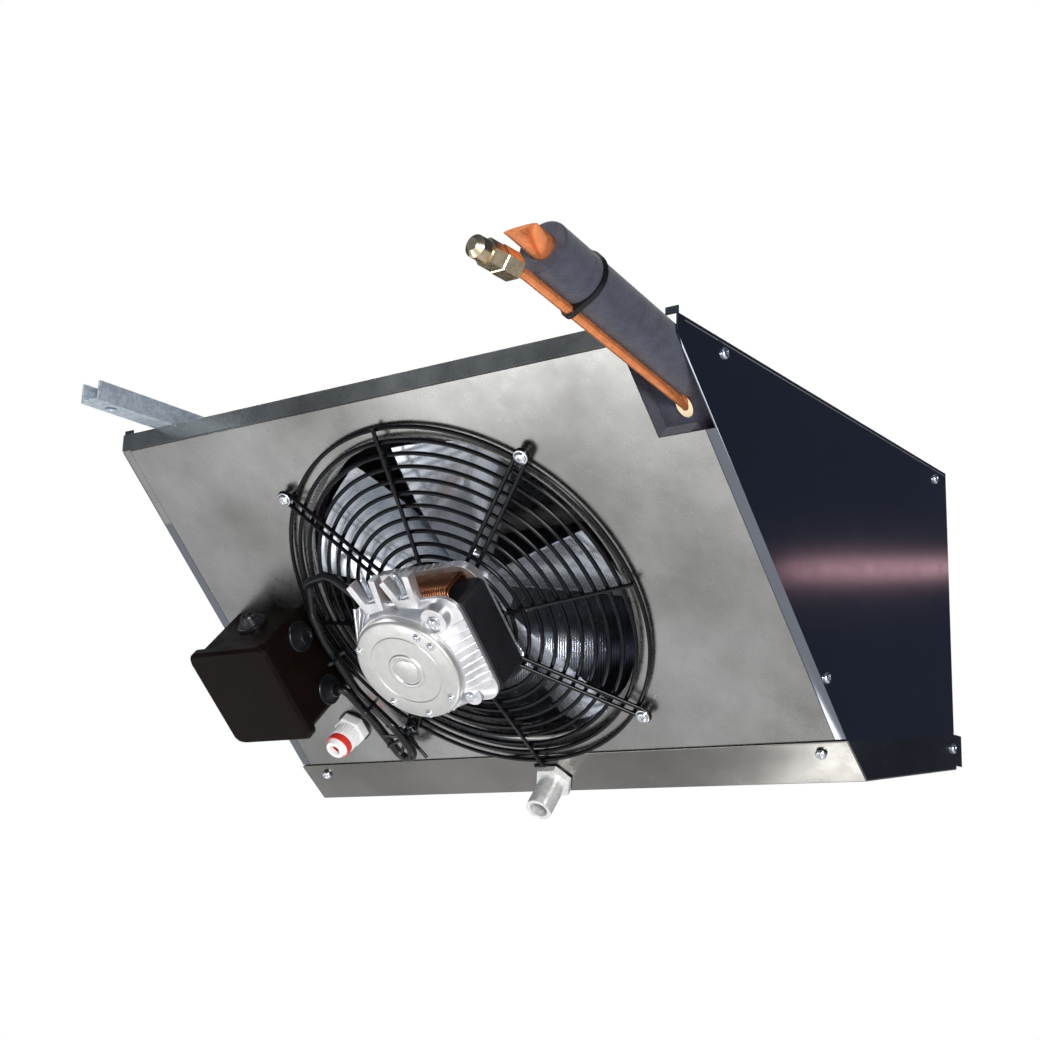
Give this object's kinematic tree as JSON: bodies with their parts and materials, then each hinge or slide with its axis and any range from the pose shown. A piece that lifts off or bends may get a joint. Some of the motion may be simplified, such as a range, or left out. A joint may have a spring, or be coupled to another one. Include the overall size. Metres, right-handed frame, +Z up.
{
  "type": "walk-in unit cooler",
  "caption": "Ceiling-hung evaporator unit cooler with one guarded axial fan on a sloping front, finned coil, drip tray, junction box and insulated suction pipe.",
  "frame": {"origin": "middle of the four hanging holes, on the upper face of the rails' webs", "axes": "+X to the right seen from the fan side, +Y to the back, +Z up"},
  "size_m": [0.5072, 0.6469, 0.2997],
  "materials": {
    "front_sheet": "satin rolled sheet",
    "dark_sheet": "dark satin sheet",
    "tray_sheet": "satin rolled sheet",
    "rail_steel": "galvanised",
    "zinc": "bright zinc plate",
    "fin_aluminium": "bright rolled aluminium",
    "copper": "drawn copper tube",
    "foam": "closed-cell foam",
    "brass": "turned brass",
    "tie_plastic": "black nylon",
    "guard_wire": "gloss black coated wire",
    "cast_motor": "die-cast",
    "laminations": "black varnished stampings",
    "windings": "varnished copper wire",
    "shaft_steel": "ground steel",
    "box_plastic": "black moulded plastic",
    "terminal_white": "white moulded plastic",
    "gland_red": "red moulded plastic",
    "black_rubber": "black rubber",
    "cable_black": "black cable sheath",
    "drain_plastic": "plated drain fitting"
  },
  "bodies": {
    "cooler": {"top_panel": "front_sheet", "fan_panel": "front_sheet", "fan_collar": "front_sheet", "side_panel_left": "dark_sheet", "side_panel_right": "dark_sheet", "drip_tray": "tray_sheet", "rail_left": "rail_steel", "rail_right": "rail_steel", "rail_bolts": "zinc", "rail_nuts": "zinc", "guard_screws": "zinc", "side_screws": "zinc", "tray_screws": "zinc", "motor_bolts": "zinc", "lug_bolts": "zinc", "motor_mount_screws": "zinc", "box_screws": "zinc", "motor_bearings": "zinc", "coil_end_plate_left": "zinc", "coil_end_plate_right": "zinc", "coil_fins": "fin_aluminium", "coil_hairpins": "copper", "return_bends": "copper", "suction_reducer": "copper", "liquid_reducer": "copper", "suction_pipe": "copper", "liquid_tube": "copper", "pipe_insulation": "foam", "pipe_seal": "foam", "flare_nut": "brass", "flare_plug": "brass", "liquid_bush": "brass", "pipe_tie": "tie_plastic", "cable_ties": "tie_plastic", "guard_rings": "guard_wire", "guard_arms": "guard_wire", "motor_rear_shield": "cast_motor", "motor_front_shield": "cast_motor", "motor_cap": "cast_motor", "motor_stator": "laminations", "motor_windings": "windings", "box_base": "box_plastic", "box_lid": "box_plastic", "terminal_block": "terminal_white", "cable_gland": "terminal_white", "gland_tip": "terminal_white", "gland_nut": "terminal_white", "gland_cap": "gland_red", "box_grommets": "black_rubber", "box_bush": "black_rubber", "gland_washer": "black_rubber", "guard_spacers": "black_rubber", "drain_gasket": "black_rubber", "motor_cable": "cable_black", "drain_spigot": "drain_plastic", "drain_nut": "drain_plastic"},
    "fan": {"impeller": "fin_aluminium", "impeller_hub": "cast_motor", "motor_shaft": "shaft_steel", "motor_rotor": "laminations"}
  },
  "joints": [
    {"name": "fan_spin", "type": "hinge", "parent": "cooler", "child": "fan", "pos_m": [0, -0.08379, -0.13309], "axis": [0, -0.7029, -0.7113], "continuous": true}
  ]
}
